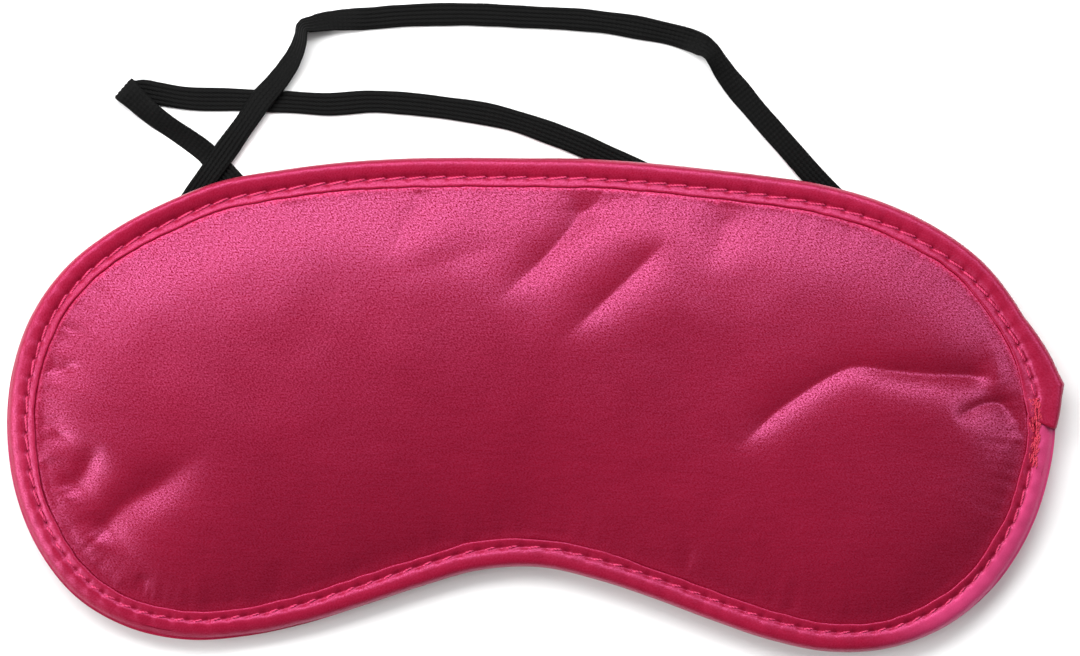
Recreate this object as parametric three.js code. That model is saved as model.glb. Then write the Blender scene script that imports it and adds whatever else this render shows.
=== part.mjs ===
// Padded sleep eye mask with two narrow elastic head straps.
//
// The mask lies face up on a flat surface: +X to the viewer's right, +Y from the
// nose notch to the brow edge, +Z out of the face side. The origin is the middle
// of the mask's footprint, on the surface it lies on. All lengths in millimetres.
//
// Layers, from the surface upwards: back lining, wadding, front panel. A folded
// strip of bias binding (U section) wraps their common edge, held by one row of
// lockstitch: needle thread on the face side, bobbin thread on the back. Two flat
// braided elastics are caught between the lining and the back flange of the
// binding at the sides; each runs under the mask and lies in a loop above the
// brow edge. Each elastic is drawn as three solids (left run, loop, right run)
// because its loop can be turned over the brow edge on to the face side.

import * as THREE from 'three';

// ---------------------------------------------------------------- dimensions

// finished outline of the bound edge, counter-clockwise from the binding join
const OUTLINE = [
  [96.2, -3.5], [94.5, 7.4], [89.7, 17.5], [82.9, 26.3], [74.0, 32.9], [63.9, 37.6],
  [53.1, 40.7], [42.1, 42.4], [31.0, 43.7], [19.9, 44.8], [8.8, 45.5], [-2.4, 45.6],
  [-13.5, 45.7], [-24.7, 45.5], [-35.8, 44.8], [-46.9, 43.4], [-57.9, 41.4], [-68.2, 37.4],
  [-78.1, 32.2], [-86.8, 25.3], [-93.2, 16.2], [-96.7, 5.6], [-97.5, -5.5], [-95.9, -16.5],
  [-91.7, -26.8], [-84.8, -35.5], [-75.2, -41.1], [-64.3, -43.4], [-53.2, -42.7], [-42.3, -40.4],
  [-31.7, -37.1], [-21.1, -33.6], [-10.3, -30.6], [0.8, -30.0], [11.7, -32.4], [22.3, -35.9],
  [32.7, -39.8], [43.3, -43.4], [54.2, -45.6], [65.3, -45.0], [75.7, -41.1], [84.4, -34.1],
  [90.7, -25.0], [94.6, -14.6],
];
const EDGE_STEPS = 64;          // stations round the edge

// layers at the bound edge (heights above the surface)
const LINING_EDGE_Z = 3.5;      // underside of the lining
const PANEL_EDGE_Z = 5.0;       // upper side of the front panel
const SKIN = 0.3;               // thickness of the lining and of the front panel
const GAP = 0.15;               // clearance kept between neighbouring layers
const PANEL_INSET = 1.3;        // raw edge of the panels, inside the binding fold
const PAD_INSET = 4.0;          // wadding is cut back to the stitch line
const LIP_INSET = 5.0;          // inner lip of the binding
const FLAT_INSET = 5.8;         // the edge is pressed flat as far as this

// crown of the face side, at the inner rings
const CROWN_Z = [7.3, 9.2, 10.3, 10.6];
// underside: raised all round so that the elastics pass beneath, with a rounded
// belly under each eye lobe that the mask lies on
const UNDER_Z = 1.3;
const BELLY = { x: 46, y: -1.5, rx: 27, ry: 16, flat: 0.6 };

// binding section: inward distance from the outline, height
const BINDING = [
  [5.0, 5.55], [1.0, 5.55], [0.28, 5.0], [0.0, 3.85], [0.28, 2.65], [1.0, 2.1], [5.0, 2.1],
  [5.0, 2.5], [1.25, 2.5], [0.72, 2.95], [0.5, 3.85], [0.72, 4.7], [1.25, 5.15], [5.0, 5.15],
];
const CORNER = { s: 6.9, out: 2.15, before: 7.2, after: 14 };  // folded end stands out as a point

// stitching
const STITCH_INSET = 3.7;
const THREAD_W = 0.5;
const THREAD_H = 0.22;
const TACK = { from: -9.5, to: 5.4, inset: 3.6, w: 2.2, z0: 5.7, z1: 6.15 };

// elastics
const STRAP_W = 4.2;
const STRAP_T = 0.7;
const SPLIT_GAP = 0.3;          // between the loop and its runs
const LOW = 0.35;               // centre height of an elastic lying on the surface
const HIGH = 1.2;               // centre height of an elastic lying on another
const TAB = 2.97;               // centre height of the sewn end
const DIP = 0.5;                // centre height where it reaches the surface

// ------------------------------------------------------------------- outline

const curve = new THREE.CatmullRomCurve3(
  OUTLINE.map(([x, y]) => new THREE.Vector3(x, y, 0)), true, 'catmullrom', 0.5);
curve.arcLengthDivisions = 1200;
const PERIMETER = curve.getLength();

function edgeAt(s) {
  const u = (((s / PERIMETER) % 1) + 1) % 1;
  const p = curve.getPointAt(u);
  const t = curve.getTangentAt(u);
  return { x: p.x, y: p.y, nx: -t.y, ny: t.x };   // n points inwards
}
const inset = (e, d) => [e.x + e.nx * d, e.y + e.ny * d];

// ----------------------------------------------------------- mesh assembling

function meshFrom(name, verts, tris, material) {
  const g = new THREE.BufferGeometry();
  g.setAttribute('position', new THREE.Float32BufferAttribute(verts.flat(), 3));
  g.setIndex(tris.flat());
  g.computeVertexNormals();
  const m = new THREE.Mesh(g, material);
  m.name = name;
  return m;
}

// volume sign, so that every closed mesh ends with its faces pointing out
function outward(verts, tris) {
  let v = 0;
  for (const [a, b, c] of tris) {
    const [ax, ay, az] = verts[a], [bx, by, bz] = verts[b], [cx, cy, cz] = verts[c];
    v += ax * (by * cz - bz * cy) - ay * (bx * cz - bz * cx) + az * (bx * cy - by * cx);
  }
  return v < 0 ? tris.map(([a, b, c]) => [a, c, b]) : tris;
}

// sweep of a closed section (array of [x,y,z] per station); caps unless closed
function sweep(sections, closed) {
  const n = sections.length, k = sections[0].length;
  const verts = sections.flat();
  const tris = [];
  const last = closed ? n : n - 1;
  for (let i = 0; i < last; i++) {
    const j = (i + 1) % n;
    for (let a = 0; a < k; a++) {
      const b = (a + 1) % k;
      tris.push([i * k + a, i * k + b, j * k + b], [i * k + a, j * k + b, j * k + a]);
    }
  }
  return { verts, tris };
}

function capped(sections, flatSection) {
  const k = sections[0].length, n = sections.length;
  const { verts, tris } = sweep(sections, false);
  const faces = THREE.ShapeUtils.triangulateShape(
    flatSection.map(([a, b]) => new THREE.Vector2(a, b)), []);
  for (const [a, b, c] of faces) {
    tris.push([a, c, b]);
    tris.push([(n - 1) * k + a, (n - 1) * k + b, (n - 1) * k + c]);
  }
  return { verts, tris };
}

// make the two caps and the walls agree, whichever way the section turns
function closedSolid(name, sections, flatSection, material) {
  const area = flatSection.reduce((s, [x, y], i) => {
    const [u, v] = flatSection[(i + 1) % flatSection.length];
    return s + x * v - u * y;
  }, 0);
  const sec = area < 0 ? sections.map((r) => [...r].reverse()) : sections;
  const flat = area < 0 ? [...flatSection].reverse() : flatSection;
  const { verts, tris } = capped(sec, flat);
  return meshFrom(name, verts, outward(verts, tris), material);
}

// --------------------------------------------------------------- panel rings

const stations = [];
for (let i = 0; i < EDGE_STEPS; i++) stations.push(edgeAt((i / EDGE_STEPS) * PERIMETER));

function spine(x) {
  const sx = 58 * Math.max(-1, Math.min(1, x / 88));
  return [sx, 7.0 - 13.0 * (sx / 58) ** 2];
}
// rings of plan points, outermost first
const RINGS = [PANEL_INSET, PAD_INSET, FLAT_INSET, 9.0].map((d) => stations.map((e) => inset(e, d)));
for (const t of [0.35, 0.62, 0.82]) {
  RINGS.push(RINGS[3].map(([x, y], i) => {
    const [sx, sy] = spine(stations[i].x);
    return [x + (sx - x) * t, y + (sy - y) * t];
  }));
}
const topZ = (ring) => (ring < 3 ? PANEL_EDGE_Z : CROWN_Z[ring - 3]);
function underZ(ring, [x, y]) {
  if (ring < 3) return LINING_EDGE_Z;
  const e = Math.hypot((Math.abs(x) - BELLY.x) / BELLY.rx, (y - BELLY.y) / BELLY.ry);
  const t = Math.max(0, Math.min(1, (e - BELLY.flat) / (1 - BELLY.flat)));
  return UNDER_Z * t * t * (3 - 2 * t);
}

// triangles across the innermost ring, laced between its brow side and its nose
// side, so that the middle of each belly is truly flat
function zip(ring) {
  const n = ring.length;
  let right = 0, left = 0;
  ring.forEach(([x], i) => {
    if (x > ring[right][0]) right = i;
    if (x < ring[left][0]) left = i;
  });
  const up = (i) => (i + 1) % n, down = (i) => (i - 1 + n) % n;
  let a = up(right), b = down(right);
  const out = [[right, a, b]];
  while (up(a) !== b) {
    const na = up(a), nb = down(b);
    if (na === nb) {
      out.push([a, na, b]);
      break;
    }
    if (a !== left && (b === left || ring[na][0] >= ring[nb][0])) {
      out.push([a, na, b]);
      a = na;
    } else {
      out.push([a, nb, b]);
      b = nb;
    }
  }
  return out;
}

// closed solid between two heights, on the rings from `first` inwards
function layer(name, first, lowZ, highZ, material) {
  const n = EDGE_STEPS, rings = RINGS.slice(first);
  const verts = [], tris = [];
  for (const side of [0, 1]) {
    rings.forEach((ring, r) => ring.forEach((p) => {
      verts.push([p[0], p[1], side ? highZ(r + first, p) : lowZ(r + first, p)]);
    }));
  }
  const per = rings.length * n;
  const cap = zip(rings[rings.length - 1]);
  for (const side of [0, 1]) {
    const o = side * per;
    const put = (a, b, c) => tris.push(side ? [a, b, c] : [a, c, b]);
    for (let r = 0; r < rings.length - 1; r++) {
      for (let i = 0; i < n; i++) {
        const j = (i + 1) % n;
        const a = o + r * n + i, b = o + r * n + j, c = o + (r + 1) * n + j, d = o + (r + 1) * n + i;
        put(a, b, c);
        put(a, c, d);
      }
    }
    const q = o + (rings.length - 1) * n;
    for (const [a, b, c] of cap) put(q + a, q + b, q + c);
  }
  for (let i = 0; i < n; i++) {
    const j = (i + 1) % n;
    tris.push([i, j, per + j], [i, per + j, per + i]);
  }
  return meshFrom(name, verts, outward(verts, tris), material);
}

// ----------------------------------------------------------------- materials

const fabric = (color, roughness) => new THREE.MeshStandardMaterial({ color, roughness, metalness: 0 });
const satin = fabric(0xc42a5c, 0.38);
const bindingSatin = fabric(0xd03068, 0.36);
const liningCloth = fabric(0x17161a, 0.8);
const wadding = fabric(0xe9e6e0, 0.95);
const pinkThread = fabric(0xe04a7c, 0.5);
const tackThread = fabric(0xd03a48, 0.55);
const elastic = fabric(0x161616, 0.75);

const mask = new THREE.Group();
mask.name = 'sleep_mask';

// -------------------------------------------------------------------- panels

mask.add(layer('back_lining', 0, underZ, (r, p) => underZ(r, p) + SKIN, liningCloth));
mask.add(layer('padding', 1,
  (r, p) => underZ(r, p) + SKIN + GAP,
  (r, p) => topZ(r, p) - SKIN - GAP, wadding));
mask.add(layer('front_panel', 0, (r, p) => topZ(r, p) - SKIN, topZ, satin));

// ------------------------------------------------------------------- binding

function cornerOut(s) {
  const ds = s - CORNER.s;
  if (ds < 0) return CORNER.out * Math.max(0, 1 + ds / CORNER.before);
  return CORNER.out * Math.max(0, 1 - ds / CORNER.after);
}
const bindS = [0.15, 3.5, CORNER.s, 10.5];
for (let i = 2; i < EDGE_STEPS; i++) bindS.push((i / EDGE_STEPS) * PERIMETER);
bindS.push(PERIMETER - 3.9, PERIMETER - 0.15);
mask.add(closedSolid('edge_binding',
  bindS.map((s) => {
    const e = edgeAt(s), out = cornerOut(s);
    return BINDING.map(([d, z]) => [...inset(e, d - out * (1 - d / LIP_INSET)), z]);
  }), BINDING, bindingSatin));

// ------------------------------------------------------------------- threads

const box2 = (w, h) => [[-w / 2, -h / 2], [w / 2, -h / 2], [w / 2, h / 2], [-w / 2, h / 2]];
function edgeStrip(name, sList, insetD, w, zMid, h, material) {
  const sec = box2(w, h);
  return closedSolid(name, sList.map((s) => {
    const e = edgeAt(s);
    return sec.map(([a, b]) => [...inset(e, insetD + a), zMid + b]);
  }), sec, material);
}
const NEEDLE_Z = 5.7 + THREAD_H / 2, BOBBIN_Z = 1.95 - THREAD_H / 2;
const needleS = [TACK.to + 0.4];
for (let i = 1; i < EDGE_STEPS; i++) {
  const s = (i / EDGE_STEPS) * PERIMETER;
  if (s > TACK.to + 2 && s < PERIMETER + TACK.from - 2) needleS.push(s);
}
needleS.push(PERIMETER + TACK.from - 0.4);
mask.add(edgeStrip('needle_thread', needleS, STITCH_INSET, THREAD_W, NEEDLE_Z, THREAD_H, pinkThread));
const bobbinS = [0.3];
for (let i = 1; i < EDGE_STEPS; i++) bobbinS.push((i / EDGE_STEPS) * PERIMETER);
bobbinS.push(PERIMETER - 0.3);
mask.add(edgeStrip('bobbin_thread', bobbinS, STITCH_INSET, THREAD_W, BOBBIN_Z, THREAD_H, pinkThread));

// back-tack over the binding join
const tackS = [];
for (let i = 0; i <= 5; i++) tackS.push(TACK.from + ((TACK.to - TACK.from) * i) / 5);
mask.add(edgeStrip('join_backtack', tackS, TACK.inset, TACK.w,
  (TACK.z0 + TACK.z1) / 2, TACK.z1 - TACK.z0, tackThread));

// ------------------------------------------------------------------ elastics

// stations: x, y, centre height, then optionally the direction of the width in
// degrees and the turn of the section about that direction (0 flat, 180 upside
// down) where the tape is folded back on itself
const SPLIT_Y = 48.3;

const UPPER_LEFT = [
  [-95.5, 2.0, TAB], [-91.8, 2.0, TAB], [-88.2, 2.0, DIP, -90, 0], [-84.8, 6.6, LOW], [-80.5, 15.0, LOW],
  [-75.0, 23.0, LOW], [-69.5, 30.0, LOW], [-64.4, 37.0, 0.5], [-61.3, 41.4, HIGH],
  [-58.9, 44.8, HIGH], [-56.4, SPLIT_Y, HIGH],
];
const UPPER_LOOP = [
  [-56.4, SPLIT_Y, HIGH], [-54.0, 51.7, HIGH], [-50.8, 56.2, HIGH], [-48.0, 59.6, HIGH],
  [-45.4, 63.3, 0.6], [-43.9, 66.3, LOW], [-43.2, 68.7, LOW], [-42.2, 70.5, LOW], [-39.6, 71.1, LOW],
  [-33.9, 71.5, LOW], [-25.0, 72.1, LOW], [-13.2, 72.4, LOW], [-1.4, 71.9, LOW], [10.4, 71.2, LOW],
  [20.0, 69.8, LOW], [27.4, 68.1, LOW], [31.4, 66.5, LOW], [33.7, 64.0, LOW], [37.2, 59.1, LOW],
  [41.7, 53.5, LOW], [46.4, SPLIT_Y, LOW],
];
const UPPER_RIGHT = [
  [46.4, SPLIT_Y, LOW], [52.4, 41.6, LOW], [59.0, 35.0, LOW], [67.0, 28.0, LOW], [74.5, 20.0, LOW],
  [79.5, 13.0, LOW], [82.9, 7.0, LOW], [86.5, 1.8, DIP, -90, 0], [90.1, 1.8, TAB], [93.8, 1.8, TAB],
];

const LOWER_LEFT = [
  [-95.5, -10.0, TAB], [-91.9, -10.0, TAB], [-88.3, -10.0, DIP, -90, 0], [-83.6, -6.8, LOW],
  [-77.0, -0.5, LOW], [-70.0, 7.0, LOW], [-63.0, 14.5, LOW], [-56.5, 21.5, LOW],
  [-51.9, 27.6, LOW], [-50.5, 32.6, LOW], [-52.4, 37.3, LOW], [-55.9, 41.3, LOW],
  [-59.5, 45.0, LOW], [-62.9, SPLIT_Y, LOW],
];
const FOLD = { x: -75.9, y: 58.35, dir: 139, r: (HIGH - LOW) / 2 };
const fdx = Math.cos((FOLD.dir * Math.PI) / 180), fdy = Math.sin((FOLD.dir * Math.PI) / 180);
const foldStations = [0, 45, 90, 135, 180].map((a) => {
  const r = (a * Math.PI) / 180;
  return [FOLD.x + fdx * FOLD.r * Math.sin(r), FOLD.y + fdy * FOLD.r * Math.sin(r),
    (HIGH + LOW) / 2 + FOLD.r * Math.cos(r), FOLD.dir - 90, a];
});
const LOWER_LOOP = [
  [-62.9, SPLIT_Y, LOW], [-66.8, 50.8, LOW], [-70.4, 53.4, 0.75], [-73.4, 56.0, HIGH],
  ...foldStations,
  [-73.4, 58.15, LOW, 66, 180], [-70.1, 57.7, LOW, 79, 180], [-64.3, 56.8, LOW, 86, 180],
  [-55.4, 56.6, LOW, 90, 180], [-45.1, 56.1, LOW, 89, 180], [-35.5, 55.8, LOW, 91, 180],
  [-25.9, 56.1, LOW, 87, 180], [-15.6, 54.9, LOW, 82, 180], [-4.0, 52.7, LOW, 74, 180],
  [3.0, 50.3, LOW, 70, 180], [8.4, SPLIT_Y, LOW, 68, 180],
];
const LOWER_RIGHT = [
  [8.4, SPLIT_Y, LOW], [18.0, 43.9, LOW], [29.0, 38.8, LOW], [41.0, 33.6, LOW], [52.5, 27.4, LOW],
  [63.0, 19.2, LOW], [72.0, 9.0, LOW], [78.6, -1.6, LOW], [82.0, -8.2, LOW], [86.1, -11.8, DIP, -90, 0],
  [89.6, -11.8, TAB], [93.4, -11.8, TAB],
];

function strap(name, st, cutStart, cutEnd) {
  const n = st.length;
  const pts = st.map(([x, y, z]) => new THREE.Vector3(x, y, z));
  const shape = box2(STRAP_W, STRAP_T);
  const sections = st.map((row, i) => {
    const a = pts[Math.max(0, i - 1)], b = pts[Math.min(n - 1, i + 1)];
    const t1 = pts[i].clone().sub(a), t2 = b.clone().sub(pts[i]);
    if (t1.lengthSq() > 0) t1.normalize();
    if (t2.lengthSq() > 0) t2.normalize();
    const t = t1.add(t2).normalize();
    let w, up;
    if (row.length > 3) {
      const q = (row[3] * Math.PI) / 180, r = (row[4] * Math.PI) / 180;
      w = new THREE.Vector3(Math.cos(q), Math.sin(q), 0);
      const f = new THREE.Vector3(-Math.sin(q), Math.cos(q), 0);
      up = new THREE.Vector3(0, 0, Math.cos(r)).addScaledVector(f, Math.sin(r));
    } else {
      w = new THREE.Vector3(t.y, -t.x, 0).normalize();
      up = new THREE.Vector3().crossVectors(w, t).normalize();
    }
    // the split sections are cut square to Y, so that a loop and its run part cleanly
    const c = pts[i].clone();
    if (i === 0 && cutStart !== undefined) { c.y += cutStart; w = new THREE.Vector3(Math.sign(w.x) / Math.abs(w.x), 0, 0); up = new THREE.Vector3(0, 0, Math.sign(up.z)); }
    if (i === n - 1 && cutEnd !== undefined) { c.y += cutEnd; w = new THREE.Vector3(Math.sign(w.x) / Math.abs(w.x), 0, 0); up = new THREE.Vector3(0, 0, Math.sign(up.z)); }
    return shape.map(([p, q]) => {
      const v = c.clone().addScaledVector(w, p).addScaledVector(up, q);
      return [v.x, v.y, v.z];
    });
  });
  return closedSolid(name, sections, shape, elastic);
}
const half = SPLIT_GAP / 2;
mask.add(strap('upper_strap_left_run', UPPER_LEFT, undefined, -half));
mask.add(strap('upper_strap_loop', UPPER_LOOP, half, half));
mask.add(strap('upper_strap_right_run', UPPER_RIGHT, -half, undefined));
mask.add(strap('lower_strap_left_run', LOWER_LEFT, undefined, -half));
mask.add(strap('lower_strap_loop', LOWER_LOOP, half, half));
mask.add(strap('lower_strap_right_run', LOWER_RIGHT, -half, undefined));

export default mask;
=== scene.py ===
import math
import bmesh
import bpy
import numpy as np
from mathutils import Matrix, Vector, geometry, noise
from mathutils.bvhtree import BVHTree


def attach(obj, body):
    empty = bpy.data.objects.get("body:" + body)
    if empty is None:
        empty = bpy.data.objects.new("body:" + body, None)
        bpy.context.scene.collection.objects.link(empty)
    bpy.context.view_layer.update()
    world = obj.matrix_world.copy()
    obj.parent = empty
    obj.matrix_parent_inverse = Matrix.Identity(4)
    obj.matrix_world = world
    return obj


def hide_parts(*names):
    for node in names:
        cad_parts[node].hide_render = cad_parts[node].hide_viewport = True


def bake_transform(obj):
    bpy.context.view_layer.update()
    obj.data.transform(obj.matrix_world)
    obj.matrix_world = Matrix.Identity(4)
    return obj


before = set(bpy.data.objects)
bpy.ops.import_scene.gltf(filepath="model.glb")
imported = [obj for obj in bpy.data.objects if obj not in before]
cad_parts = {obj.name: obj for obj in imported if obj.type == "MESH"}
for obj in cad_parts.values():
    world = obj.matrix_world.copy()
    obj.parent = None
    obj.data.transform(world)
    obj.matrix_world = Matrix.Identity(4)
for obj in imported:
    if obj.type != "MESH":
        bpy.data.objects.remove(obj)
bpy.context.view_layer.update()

# Sleep eye mask: satin front panel over wadding, dark lining, bound and topstitched
# edge, two braided elastics. Lengths below are in millimetres and become metres
# when a mesh is made.

MM = 0.001

# ------------------------------------------------------------------ dimensions

OUTLINE = [
    (96.2, -3.5), (94.5, 7.4), (89.7, 17.5), (82.9, 26.3), (74.0, 32.9), (63.9, 37.6),
    (53.1, 40.7), (42.1, 42.4), (31.0, 43.7), (19.9, 44.8), (8.8, 45.5), (-2.4, 45.6),
    (-13.5, 45.7), (-24.7, 45.5), (-35.8, 44.8), (-46.9, 43.4), (-57.9, 41.4), (-68.2, 37.4),
    (-78.1, 32.2), (-86.8, 25.3), (-93.2, 16.2), (-96.7, 5.6), (-97.5, -5.5), (-95.9, -16.5),
    (-91.7, -26.8), (-84.8, -35.5), (-75.2, -41.1), (-64.3, -43.4), (-53.2, -42.7), (-42.3, -40.4),
    (-31.7, -37.1), (-21.1, -33.6), (-10.3, -30.6), (0.8, -30.0), (11.7, -32.4), (22.3, -35.9),
    (32.7, -39.8), (43.3, -43.4), (54.2, -45.6), (65.3, -45.0), (75.7, -41.1), (84.4, -34.1),
    (90.7, -25.0), (94.6, -14.6),
]
PANEL_EDGE_Z = 5.0        # upper side of the front panel in the seam
PANEL_LIP_Z = 5.45        # and where it comes out from under the binding
LINING_EDGE_Z = 3.5       # underside of the lining in the seam
SKIN = 0.3                # cloth thickness
PIN = 5.2                 # the cloth is free from this distance inwards
STITCH = 3.7              # stitch row, from the outer edge
PITCH = 3.75              # stitch length
CROWN = 10.6              # highest point of the face side
CORNER = dict(s=6.9, out=2.15, before=7.2, after=14.0)
TACK_FROM, TACK_TO = -9.5, 5.4

LOW, HIGH, TAB, DIP = 0.35, 1.2, 2.97, 0.5
STRAP_W, STRAP_T = 4.2, 0.7

# --------------------------------------------------------------------- outline

def _closed_spline(points, steps=60):
    p = np.array(points, float)
    n = len(p)
    u = (np.arange(steps) / steps)[:, None]
    out = []
    for i in range(n):
        a, b, c, d = p[(i - 1) % n], p[i], p[(i + 1) % n], p[(i + 2) % n]
        t0, t1 = 0.5 * (c - a), 0.5 * (d - b)
        out.append(b + t0 * u + (-3 * b + 3 * c - 2 * t0 - t1) * u ** 2 + (2 * b - 2 * c + t0 + t1) * u ** 3)
    return np.vstack(out)


EDGE = _closed_spline(OUTLINE)
_seg = np.roll(EDGE, -1, 0) - EDGE
_len = np.hypot(*_seg.T)
EDGE_S = np.concatenate([[0.0], np.cumsum(_len)])
PERIMETER = float(EDGE_S[-1])
_EX, _EY = (np.append(EDGE[:, k], EDGE[0, k]) for k in (0, 1))
_t = (_seg / _len[:, None] + np.roll(_seg / _len[:, None], 1, 0))
_t /= np.hypot(*_t.T)[:, None]
_TX, _TY = (np.append(_t[:, k], _t[0, k]) for k in (0, 1))


def edge_at(s):
    """Position and inward normal on the outline at arc length s, arrays."""
    s = np.mod(np.asarray(s, float), PERIMETER)
    x, y = np.interp(s, EDGE_S, _EX), np.interp(s, EDGE_S, _EY)
    tx, ty = np.interp(s, EDGE_S, _TX), np.interp(s, EDGE_S, _TY)
    k = np.hypot(tx, ty)
    return np.stack([x, y], -1), np.stack([-ty / k, tx / k], -1)


def near_edge(xy):
    """Distance inwards from the outline and nearest arc length, for plan points."""
    xy = np.asarray(xy, float)
    d_out, s_out = np.empty(len(xy)), np.empty(len(xy))
    for k in range(0, len(xy), 3000):
        q = xy[k:k + 3000]
        d2 = (q[:, None, 0] - EDGE[None, :, 0]) ** 2 + (q[:, None, 1] - EDGE[None, :, 1]) ** 2
        i = d2.argmin(1)
        d_out[k:k + 3000] = np.sqrt(d2[np.arange(len(q)), i])
        s_out[k:k + 3000] = EDGE_S[i]
    return d_out, s_out


def smooth(t):
    t = np.clip(t, 0, 1)
    return t * t * (3 - 2 * t)


def wobble(s, seed, scale):
    """Smooth repeatable noise along a length, about -1 to 1."""
    return np.array([noise.noise(Vector((float(v) / scale, seed * 7.31, seed * 1.7))) for v in np.atleast_1d(s)]) * 1.6


def wobble2(x, y, seed, scale):
    return np.array([noise.noise(Vector((float(a) / scale, float(b) / scale, seed * 3.7)))
                     for a, b in zip(x, y)]) * 1.6

# ---------------------------------------------------------------- mesh helpers

def make(name, verts, faces, strip=None):
    """A smooth-shaded object from vertices in millimetres. strip is a per-vertex
    (along, across) in metres for materials that follow a tape or thread."""
    me = bpy.data.meshes.new(name)
    me.from_pydata((np.asarray(verts, float) * MM).tolist(), [], [tuple(f) for f in faces])
    me.validate(clean_customdata=False)
    me.update()
    me.shade_smooth()
    if strip is not None:
        at = me.attributes.new("strip", "FLOAT_VECTOR", "POINT")
        s = np.zeros((len(verts), 3), np.float32)
        s[:, :2] = np.asarray(strip, np.float32)
        at.data.foreach_set("vector", s.ravel())
    o = bpy.data.objects.new(name, me)
    bpy.context.scene.collection.objects.link(o)
    return o


def tube_faces(n, k, closed=False, offset=0, caps=True):
    faces = []
    for i in range(n if closed else n - 1):
        j = (i + 1) % n
        for a in range(k):
            b = (a + 1) % k
            faces.append((offset + i * k + a, offset + j * k + a, offset + j * k + b, offset + i * k + b))
    if caps and not closed:
        faces.append(tuple(offset + a for a in range(k)))
        faces.append(tuple(offset + (n - 1) * k + a for a in reversed(range(k))))
    return faces


def outwards(o):
    """All faces point out of the closed mesh."""
    bm = bmesh.new()
    bm.from_mesh(o.data)
    bmesh.ops.recalc_face_normals(bm, faces=bm.faces)
    bm.to_mesh(o.data)
    bm.free()
    return o


def threads(name, paths, radius, sides=8):
    """Round threads along paths (lists of xyz in millimetres), with rounded ends."""
    verts, faces, strip = [], [], []
    ring = np.array([(math.cos(a), math.sin(a)) for a in np.arange(sides) * 2 * math.pi / sides])
    for path in paths:
        p = np.asarray(path, float)
        t = np.gradient(p, axis=0)
        t /= np.linalg.norm(t, axis=1)[:, None]
        up = np.array([0.0, 0.0, 1.0])
        side = np.cross(t, up)
        bad = np.linalg.norm(side, axis=1) < 1e-3
        side[bad] = (1, 0, 0)
        side /= np.linalg.norm(side, axis=1)[:, None]
        upv = np.cross(side, t)
        along = np.concatenate([[0], np.cumsum(np.linalg.norm(np.diff(p, axis=0), axis=1))])
        r = np.full(len(p), float(radius))
        r[0] *= 0.35
        r[-1] *= 0.35
        base = len(verts)
        for i in range(len(p)):
            for a, (c, s_) in enumerate(ring):
                verts.append(p[i] + side[i] * c * r[i] + upv[i] * s_ * r[i])
                strip.append((along[i] * MM, a / sides))
        faces += tube_faces(len(p), sides, offset=base)
    return outwards(make(name, verts, faces, strip))

# ------------------------------------------------------------------ node helpers

class Nodes:
    def __init__(self, name):
        self.m = bpy.data.materials.new(name)
        self.m.use_nodes = True
        self.t = self.m.node_tree
        self.t.nodes.clear()
        self.out = self.t.nodes.new("ShaderNodeOutputMaterial")
        self.bsdf = self.t.nodes.new("ShaderNodeBsdfPrincipled")
        self.t.links.new(self.bsdf.outputs[0], self.out.inputs["Surface"])

    def put(self, kind, inputs=(), **props):
        n = self.t.nodes.new(kind)
        for k, v in props.items():
            setattr(n, k, v)
        for key, v in dict(inputs).items():
            self.join(v, n.inputs[key])
        return n

    def join(self, v, socket):
        if isinstance(v, bpy.types.NodeSocket):
            self.t.links.new(v, socket)
        else:
            socket.default_value = v

    def math(self, op, a, b=None, c=None):
        n = self.put("ShaderNodeMath", operation=op)
        for i, v in enumerate((a, b, c)):
            if v is not None:
                self.join(v, n.inputs[i])
        return n.outputs[0]

    def mix(self, fac, a, b):
        n = self.put("ShaderNodeMix", data_type="RGBA")
        self.join(fac, n.inputs[0])
        self.join(a, n.inputs[6])
        self.join(b, n.inputs[7])
        return n.outputs[2]

    def ramp(self, fac, stops):
        n = self.put("ShaderNodeValToRGB")
        e = n.color_ramp.elements
        while len(e) < len(stops):
            e.new(0.5)
        for i, (p, c) in enumerate(stops):
            e[i].position = p
            e[i].color = (*c, 1) if len(c) == 3 else c
        self.join(fac, n.inputs[0])
        return n.outputs[0]

    def noise(self, vec, scale, detail=2.0, rough=0.5):
        return self.put("ShaderNodeTexNoise", {"Vector": vec, "Scale": scale, "Detail": detail, "Roughness": rough}).outputs[0]

    def mapping(self, vec, loc=(0, 0, 0), rot=(0, 0, 0), scale=(1, 1, 1)):
        return self.put("ShaderNodeMapping", {"Vector": vec, "Location": loc, "Rotation": rot, "Scale": scale}).outputs[0]

    def xyz(self, vec):
        return self.put("ShaderNodeSeparateXYZ", {0: vec}).outputs

    def bump(self, height, strength, distance, normal=None):
        n = self.put("ShaderNodeBump", {"Height": height, "Strength": strength, "Distance": distance})
        if normal is not None:
            self.join(normal, n.inputs["Normal"])
        return n.outputs[0]

    def set(self, **values):
        for k, v in values.items():
            self.join(v, self.bsdf.inputs[k.replace("_", " ")])


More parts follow.
